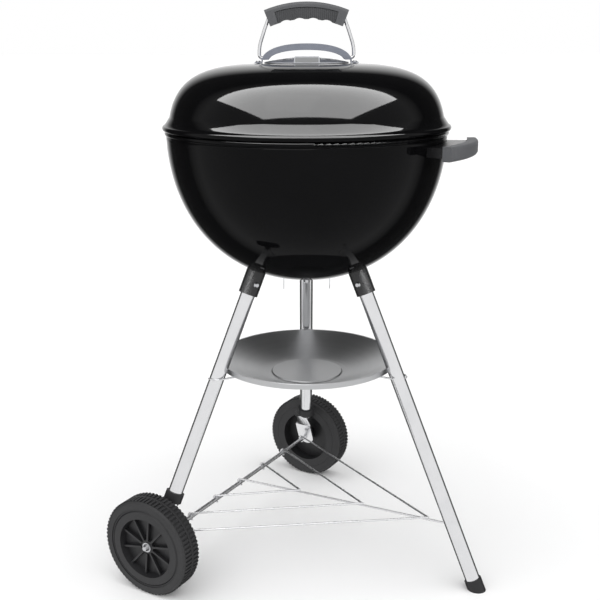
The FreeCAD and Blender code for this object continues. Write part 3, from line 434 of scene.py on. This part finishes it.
@dataclass(frozen=True)
class StripSteel:
    """Bright rolled strip or turned hardware."""

    name: str
    colour: Colour = (0.50, 0.53, 0.60)
    dark: Colour = (0.34, 0.37, 0.45)
    rough: float = 0.22
    stretch: tuple[float, float, float] = (2.0, 60.0, 60.0)
    draw_scale: float = 24.0
    haze_scale: float = 60.0
    draw_depth: float = 0.00003
    draw_strength: float = 0.3

    def make(self) -> bpy.types.Material:
        """Build the material.

        Returns:
            The finished material.
        """
        book = MaterialBook(self.name)
        draw = book.noise(self.draw_scale, 3.0, self.stretch)
        haze = book.noise(self.haze_scale, 3.0)
        tone = (draw * 0.7 + haze * 0.3).clamped()
        return book.shade(Base_Color=book.mix(tone, self.dark, self.colour),
                          Metallic=1.0, Roughness=self.rough + draw * 0.08,
                          Normal=book.bump(draw, self.draw_depth, self.draw_strength))


@dataclass(frozen=True)
class MouldedPlastic:
    """Moulded plastic with spark-eroded grain and faint scuffs."""

    name: str
    colour: Colour
    worn: Colour
    grain: Grain = Grain.FINE
    rough: float = 0.48
    depth: float = 0.00008
    strength: float = 0.55
    specular: float = 0.42
    cloud_scale: float = 26.0
    scuff_scale: float = 120.0
    scuff_stretch: tuple[float, float, float] = (1.0, 4.0, 1.0)
    scuff_floor: float = 0.56
    scuff_gain: float = 4.0

    def make(self) -> bpy.types.Material:
        """Build the material.

        Returns:
            The finished material.
        """
        book = MaterialBook(self.name)
        grain = book.noise(self.grain.value, 2.0)
        cloud = book.noise(self.cloud_scale, 4.0)
        rub = book.noise(self.scuff_scale, 4.0, self.scuff_stretch)
        scuff = (rub - self.scuff_floor).clamped() * self.scuff_gain
        tone = (cloud * 0.5 + grain * 0.3 + scuff * 0.35 - 0.15).clamped()
        return book.shade(Base_Color=book.mix(tone, self.colour, self.worn),
                          Roughness=(self.rough + grain * 0.12 - scuff * 0.05).clamped(0.05, 1.0),
                          Specular_IOR_Level=self.specular,
                          Normal=book.bump(grain, self.depth, self.strength))


@dataclass(frozen=True)
class RibbedPlastic:
    """Soft moulded plastic with fine upright ribs across the piece, with painted shade in the rib
    valleys and a painted highlight on the rib crests.
    """

    name: str
    # The first colour is painted shade in the rib valleys, the second a painted highlight on the
    # rib crests.
    shaded_valley: Colour
    lit_crest: Colour
    pitch: float = 0.0032
    depth: float = 0.0007
    strength: float = 0.8
    cloud_scale: float = 40.0

    def make(self) -> bpy.types.Material:
        """Build the material.

        Returns:
            The finished material.
        """
        book = MaterialBook(self.name)
        across = book.add("ShaderNodeSeparateXYZ", None, {0: book.place()}, "X")
        rib = (across * (2 * math.pi / self.pitch)).sine() * 0.5 + 0.5
        grain = book.noise(Grain.FINE.value, 2.0)
        cloud = book.noise(self.cloud_scale, 3.0)
        # Painted shade and highlight: the colour follows the ribs, darker in the valleys and
        # lighter on the crests.
        tone = (rib * 0.6 + cloud * 0.4 + grain * 0.15 - 0.15).clamped()
        return book.shade(Base_Color=book.mix(tone, self.shaded_valley, self.lit_crest),
                          Roughness=0.46 + grain * 0.14,
                          Normal=book.bump(rib + grain * 0.08, self.depth, self.strength))


@dataclass(frozen=True)
class CoatedSteel:
    """Black semi-gloss coating on pressed steel."""

    name: str = "coated_black_steel"
    colour: Colour = (0.004, 0.004, 0.0045)
    worn: Colour = (0.012, 0.012, 0.013)
    peel_scale: float = 240.0
    cloud_scale: float = 35.0
    peel_depth: float = 0.00005
    peel_strength: float = 0.4

    def make(self) -> bpy.types.Material:
        """Build the material.

        Returns:
            The finished material.
        """
        book = MaterialBook(self.name)
        peel = book.noise(self.peel_scale, 3.0)
        cloud = book.noise(self.cloud_scale, 3.0)
        tone = (cloud * 0.8 + peel * 0.2).clamped()
        return book.shade(Base_Color=book.mix(tone, self.colour, self.worn),
                          Roughness=0.20 + cloud * 0.14,
                          Normal=book.bump(peel, self.peel_depth, self.peel_strength))


@dataclass(frozen=True)
class FloorPaint:
    """Plain pale matt floor."""

    name: str = "pale_floor"
    colour: Colour = (0.90, 0.90, 0.90)
    tint: Colour = (0.87, 0.87, 0.872)
    cloud_scale: float = 1.5

    def make(self) -> bpy.types.Material:
        """Build the material.

        Returns:
            The finished material.
        """
        book = MaterialBook(self.name)
        cloud = book.noise(self.cloud_scale, 2.0)
        return book.shade(Base_Color=book.mix(cloud, self.colour, self.tint), Roughness=0.9,
                          Specular_IOR_Level=0.1)


# ------------------------------------------------------------------------------------- pieces
@dataclass(frozen=True)
class Coat:
    """Thin smooth skin of enamel turned round the kettle's axis, over one pressed shell."""

    name: str
    body: str
    axis: Vector
    radius: float
    depth: float
    power: float
    centre_z: float
    side: int
    from_radius: float
    to_z: float
    tail: tuple[tuple[float, float], ...]
    skin: float = 0.12 * MM
    thick: float = 0.5 * MM
    steps: int = 72
    turns: int = 288

    def _outline(self) -> list[tuple[float, float]]:
        """Trace the outer surface.

        Returns:
            Radius and height pairs from the middle outwards.
        """
        first = math.asin((self.from_radius / self.radius) ** (self.power / 2))
        last = math.acos((abs(self.to_z - self.centre_z) / self.depth) ** (self.power / 2))
        points = []
        for i in range(self.steps + 1):
            a = first + (last - first) * i / self.steps
            radius = self.radius * math.sin(a) ** (2 / self.power)
            height = self.depth * math.cos(a) ** (2 / self.power)
            points.append((radius, self.centre_z + self.side * height))
        return points + list(self.tail)

    def _shifted(self, points: list[tuple[float, float]], out: float) -> list[tuple[float, float]]:
        """Outline moved square to itself.

        Args:
            points: Radius and height pairs.
            out: How far to move, outwards if positive.

        Returns:
            The moved outline.
        """
        moved = []
        for i, (r, z) in enumerate(points):
            before, after = points[max(i - 1, 0)], points[min(i + 1, len(points) - 1)]
            dr, dz = after[0] - before[0], after[1] - before[1]
            size = math.hypot(dr, dz) * self.side
            moved.append((r - dz / size * out, z + dr / size * out))
        return moved

    def build(self, material: bpy.types.Material, slot: str) -> None:
        """Make the skin and let it ride on its body.

        Args:
            material: The finish.
            slot: Not used.
        """
        outline = self._outline()
        inner = self._shifted(outline, self.skin - self.thick)
        loop = self._shifted(outline, self.skin) + inner[::-1]
        verts, faces = [], []
        count = len(loop)
        for turn in range(self.turns):
            a = 2 * math.pi * turn / self.turns
            for r, z in loop:
                verts.append((self.axis.x + r * math.cos(a), self.axis.y + r * math.sin(a), z))
            start, ahead = turn * count, (turn + 1) % self.turns * count
            for i in range(count):
                j = (i + 1) % count
                quad = (start + i, start + j, ahead + j, ahead + i)
                faces.append(quad if self.side > 0 else quad[::-1])
        mesh = bpy.data.meshes.new(self.name)
        mesh.from_pydata(verts, [], faces)
        mesh.polygons.foreach_set("use_smooth", [True] * len(faces))
        mesh.materials.append(material)
        piece = bpy.data.objects.new(self.name, mesh)
        bpy.context.scene.collection.objects.link(piece)
        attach(piece, self.body)
        LOG.info("added %s on %s", self.name, self.body)


def upright_axis(low: Vector, high: Vector) -> Vector:
    """Find the foot of the upright line through the middle of a box.

    Args:
        low: The box's lowest corner.
        high: The box's highest corner.

    Returns:
        The point where that line meets the floor.
    """
    return Vector(((low.x + high.x) / 2, (low.y + high.y) / 2, 0.0))


def bead_arc(middle: float, height: float, radius: float, first: float, last: float,
             steps: int = 14) -> list[tuple[float, float]]:
    """Radius and height pairs round a rolled bead.

    Args:
        middle: Radius of the bead's centre line.
        height: Height of the bead's centre line.
        radius: Radius of the bead.
        first: First angle in degrees, zero outwards and 90 upwards.
        last: Last angle in degrees.
        steps: Number of steps.

    Returns:
        The points in order.
    """
    angles = [math.radians(first + (last - first) * i / steps) for i in range(steps + 1)]
    return [(middle + radius * math.cos(a), height + radius * math.sin(a)) for a in angles]


# ----------------------------------------------------------------------------- sub-assemblies
@dataclass
class Dressing:
    """Shared way to give finishes to CAD nodes."""

    nodes: dict[str, bpy.types.Object]

    def dress(self, names: Iterable[str], material: bpy.types.Material) -> None:
        """Assign one material to whole nodes.

        Args:
            names: The nodes.
            material: The finish.
        """
        for name in names:
            node = self.nodes[name]
            node.data.materials.clear()
            node.data.materials.append(material)
            LOG.info("dressed %s in %s", name, material.name)


@dataclass
class Kettle(Dressing):
    """Bowl, lid and their fittings."""

    def build(self) -> None:
        """Dress the bowl, the lid, the dampers and the grates."""
        axis = upright_axis(*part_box("bowl_shell"))
        enamel = Enamel().make()
        self.dress(("bowl_shell", "lid_shell"), enamel)
        self._bowl_coat(axis).build(enamel, ENAMEL_SLOT)
        self._lid_coat(axis).build(enamel, ENAMEL_SLOT)
        self.dress(("leg_socket_front_left", "leg_socket_front_right", "leg_socket_rear",
                    "cooking_grate_brackets", "charcoal_grate_brackets", "side_handle_bracket"),
                   CoatedSteel().make())
        spun = SpunMetal("damper_aluminium", axis, (0.70, 0.71, 0.73), (0.52, 0.53, 0.56), 0.24)
        self.dress(("lid_damper", "bottom_damper"), spun.make())
        badge = StripSteel("badge_plate", (0.40, 0.405, 0.41), (0.33, 0.335, 0.34), 0.34)
        self.dress(("lid_damper_badge",), badge.make())
        shield = StripSteel("shield_steel", (0.34, 0.36, 0.41), (0.17, 0.18, 0.22), 0.30)
        self.dress(("lid_heat_shield",), shield.make())
        zinc = StripSteel("zinc_screws", (0.62, 0.625, 0.64), (0.48, 0.485, 0.50), 0.26)
        self.dress(("lid_damper_rivet", "lid_shield_screws", "bottom_damper_bolt", "leg_screws",
                    "side_handle_screws", "axle_push_nuts"), zinc.make())
        self.dress(("cooking_grate", "charcoal_grate"),
                   PlatedTube("grate_rod", (2.0, 30.0, 30.0), rough=0.24).make())

    def _bowl_coat(self, axis: Vector) -> Coat:
        """Smooth skin over the outside of the bowl.

        Args:
            axis: A point of the kettle's axis.

        Returns:
            The coat, not yet built.
        """
        low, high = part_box("bowl_shell")
        centre_z = high.z + BOWL_CENTRE_RISE
        return Coat("bowl_enamel_coat", "stand", axis,
                    radius=(high.x - low.x) / 2 - BOWL_LIP_OUT, depth=centre_z - low.z,
                    power=BOWL_POWER, centre_z=centre_z, side=-1,
                    from_radius=BOWL_COAT_FROM, to_z=high.z - BOWL_COAT_DROP, tail=())

    def _lid_coat(self, axis: Vector) -> Coat:
        """Smooth skin over the outside of the lid, its flared skirt and its bead.

        Args:
            axis: A point of the kettle's axis.

        Returns:
            The coat, not yet built.
        """
        low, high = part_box("lid_shell")
        middle = (high.x - low.x) / 2 - LID_BEAD_R
        bead_z = low.z + LID_BEAD_R
        flare = (middle - LID_FLARE_IN, bead_z + LID_FLARE_RISE)
        bead = bead_arc(middle, bead_z, LID_BEAD_R, LID_BEAD_FIRST, LID_BEAD_LAST)
        return Coat("lid_enamel_coat", "lid", axis, radius=middle - LID_SKIRT_IN,
                    depth=LID_DEPTH, power=LID_POWER, centre_z=high.z - LID_DEPTH, side=1,
                    from_radius=LID_COAT_FROM, to_z=bead_z + LID_COAT_RISE,
                    tail=(flare, *bead))


@dataclass
class Grips(Dressing):
    """Lid grip and side grip."""

    def build(self) -> None:
        """Dress the two grips and the handle wire."""
        skin = MouldedPlastic("grey_grip_plastic", (0.075, 0.077, 0.082), (0.13, 0.133, 0.14))
        self.dress(("lid_grip_shell", "side_handle_grip"), skin.make())
        # Rib colours: painted shade for the valleys, then a painted highlight for the crests.
        insert = RibbedPlastic("dark_grip_plastic", (0.022, 0.023, 0.025), (0.075, 0.077, 0.082))
        self.dress(("lid_grip_insert",), insert.make())
        wire = PlatedTube("handle_wire_steel", (30.0, 30.0, 2.0), rough=0.16)
        self.dress(("lid_handle_wire",), wire.make())


@dataclass
class Stand(Dressing):
    """Legs, rack, wheels and ash catcher."""

    def build(self) -> None:
        """Dress everything under the bowl."""
        for name in ("leg_front_left", "leg_front_right", "leg_rear"):
            self.dress((name,), PlatedTube(name + "_plating").make())
        self.dress(("rack_centre_wire", "rack_wires_outer", "rack_wires_middle", "rack_wires_inner",
                    "catcher_clips", "axle"),
                   PlatedTube("rack_wire_steel", (6.0, 6.0, 6.0), rough=0.22).make())
        catcher = SpunMetal("catcher_aluminium", upright_axis(*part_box("ash_catcher")))
        self.dress(("ash_catcher",), catcher.make())
        black = MouldedPlastic("black_plastic", (0.008, 0.008, 0.009), (0.022, 0.022, 0.024))
        self.dress(("foot_cap", "leg_collars"), black.make())
        hub = MouldedPlastic("wheel_plastic", (0.010, 0.010, 0.011), (0.026, 0.026, 0.028),
                             rough=0.36)
        self.dress(("wheel_front_hub", "wheel_rear_hub"), hub.make())
        tyre = MouldedPlastic("tyre_plastic", (0.016, 0.016, 0.017), (0.036, 0.036, 0.038),
                              Grain.COARSE, 0.55, 0.00012)
        self.dress(("wheel_front_tyre", "wheel_rear_tyre"), tyre.make())


# --------------------------------------------------------------------------------- the studio
@dataclass(frozen=True)
class Softbox:
    """One rectangular studio light that shows in gloss and leaves matt surfaces alone."""

    name: str
    place: tuple[float, float, float]
    target: tuple[float, float, float]
    width: float
    height: float
    radiance: float
    only_on: tuple[str, ...] = ()

    def build(self, nodes: dict[str, bpy.types.Object]) -> None:
        """Make the light, aim it and set what it reaches.

        Args:
            nodes: The CAD nodes by name.
        """
        data = bpy.data.lights.new(self.name, "AREA")
        data.shape = "RECTANGLE"
        data.size = self.width
        data.size_y = self.height
        data.energy = self.radiance * math.pi * self.width * self.height
        lamp = bpy.data.objects.new(self.name, data)
        bpy.context.scene.collection.objects.link(lamp)
        lamp.location = self.place
        aim = Vector(self.target) - Vector(self.place)
        lamp.rotation_euler = aim.to_track_quat("-Z", "Y").to_euler()
        lamp.visible_camera = False
        lamp.visible_diffuse = False
        if self.only_on:
            group = bpy.data.collections.new(self.name + "_receivers")
            for name in self.only_on:
                group.objects.link(nodes.get(name) or bpy.data.objects[name])
            lamp.light_linking.receiver_collection = group
        LOG.info("light %s", self.name)


@dataclass
class Studio:
    """Camera, floor, backdrop and lights round the kettle's axis."""

    axis: Vector
    nodes: dict[str, bpy.types.Object]
    camera_offset: tuple[float, float, float] = (-0.0121, -1.6096, 0.9025)
    pitch: float = 14.951
    roll: float = -0.188
    lens: float = 56.451
    floor_half: float = 150.0

    def build(self) -> None:
        """Make the whole studio."""
        self._camera()
        self._floor()
        self._world()
        self._sky_lamp()
        for box in self._boxes():
            box.build(self.nodes)
        view = bpy.context.scene.view_settings
        view.view_transform = "Standard"
        view.look = "None"

    def _camera(self) -> None:
        """Place the camera in front of the kettle, looking down on it."""
        data = bpy.data.cameras.new("camera")
        data.sensor_width = SENSOR_WIDTH
        data.lens = self.lens
        camera = bpy.data.objects.new("camera", data)
        bpy.context.scene.collection.objects.link(camera)
        turn = (Matrix.Rotation(math.radians(90 - self.pitch), 4, "X")
                @ Matrix.Rotation(math.radians(self.roll), 4, "Z"))
        camera.matrix_world = Matrix.Translation(self.axis + Vector(self.camera_offset)) @ turn
        bpy.context.scene.camera = camera

    def _floor(self) -> None:
        """Lay a wide floor."""
        mesh = bpy.data.meshes.new("floor")
        h = self.floor_half
        mesh.from_pydata([(-h, -h, 0), (h, -h, 0), (h, h, 0), (-h, h, 0)], [], [(0, 1, 2, 3)])
        floor = bpy.data.objects.new("floor", mesh)
        bpy.context.scene.collection.objects.link(floor)
        mesh.materials.append(FloorPaint().make())
        floor.visible_glossy = False

    def _world(self) -> None:
        """Pale surroundings with a dark ring round the bright backdrop."""
        world = bpy.data.worlds.new("studio")
        world.use_nodes = True
        book = NodeBook(world.node_tree)
        place = book.add("ShaderNodeTexCoord", output="Generated")
        depth = book.add("ShaderNodeSeparateXYZ", None, {0: place}, "Y")
        scaled = book.add("ShaderNodeMapRange", None, {"Value": depth, "From Min": -1.0})
        ramp = book.add("ShaderNodeValToRGB", {"stops": WORLD_STOPS}, {0: scaled})
        background = world.node_tree.nodes["Background"]
        book.feed(background.inputs["Color"], ramp)
        book.feed(background.inputs["Strength"], 1.0)
        bpy.context.scene.world = world

    def _sky_lamp(self) -> None:
        """Wide even light from above for the floor and the matt pieces."""
        data = bpy.data.lights.new("sky_lamp", "SUN")
        data.energy = SKY_ENERGY
        data.angle = math.radians(SKY_ANGLE)
        lamp = bpy.data.objects.new("sky_lamp", data)
        bpy.context.scene.collection.objects.link(lamp)
        lamp.rotation_euler = (math.radians(SKY_TILT[0]), math.radians(SKY_TILT[1]), 0.0)
        lamp.visible_glossy = False

    def _boxes(self) -> list[Softbox]:
        """List the studio's soft boxes.

        Returns:
            The boxes, not yet built.
        """
        x, y = self.axis.x, self.axis.y
        return [
            Softbox("lid_box", (x, y - 1.55, 2.5), (x, y - 1.55, 0.0), 4.7, 3.4,
                    LID_BOX_RADIANCE,
                    only_on=("lid_enamel_coat", "lid_shell", "bowl_shell",
                             "leg_socket_front_left", "leg_socket_front_right",
                             "leg_socket_rear")),
            Softbox("metal_box", (x - 0.5, y - 1.6, 2.9), (x, y, 0.5), 1.6, 1.6,
                    METAL_BOX_RADIANCE),
        ]


def main() -> None:
    """Build the kettle grill's looks and its studio."""
    logging.basicConfig(level=logging.INFO, format="%(name)s: %(message)s")
    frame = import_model()
    axis = upright_axis(*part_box("bowl_shell"))
    for part in (Kettle(frame["nodes"]), Grips(frame["nodes"]), Stand(frame["nodes"])):
        part.build()
    Studio(axis, frame["nodes"]).build()


if __name__ == "__main__":
    main()
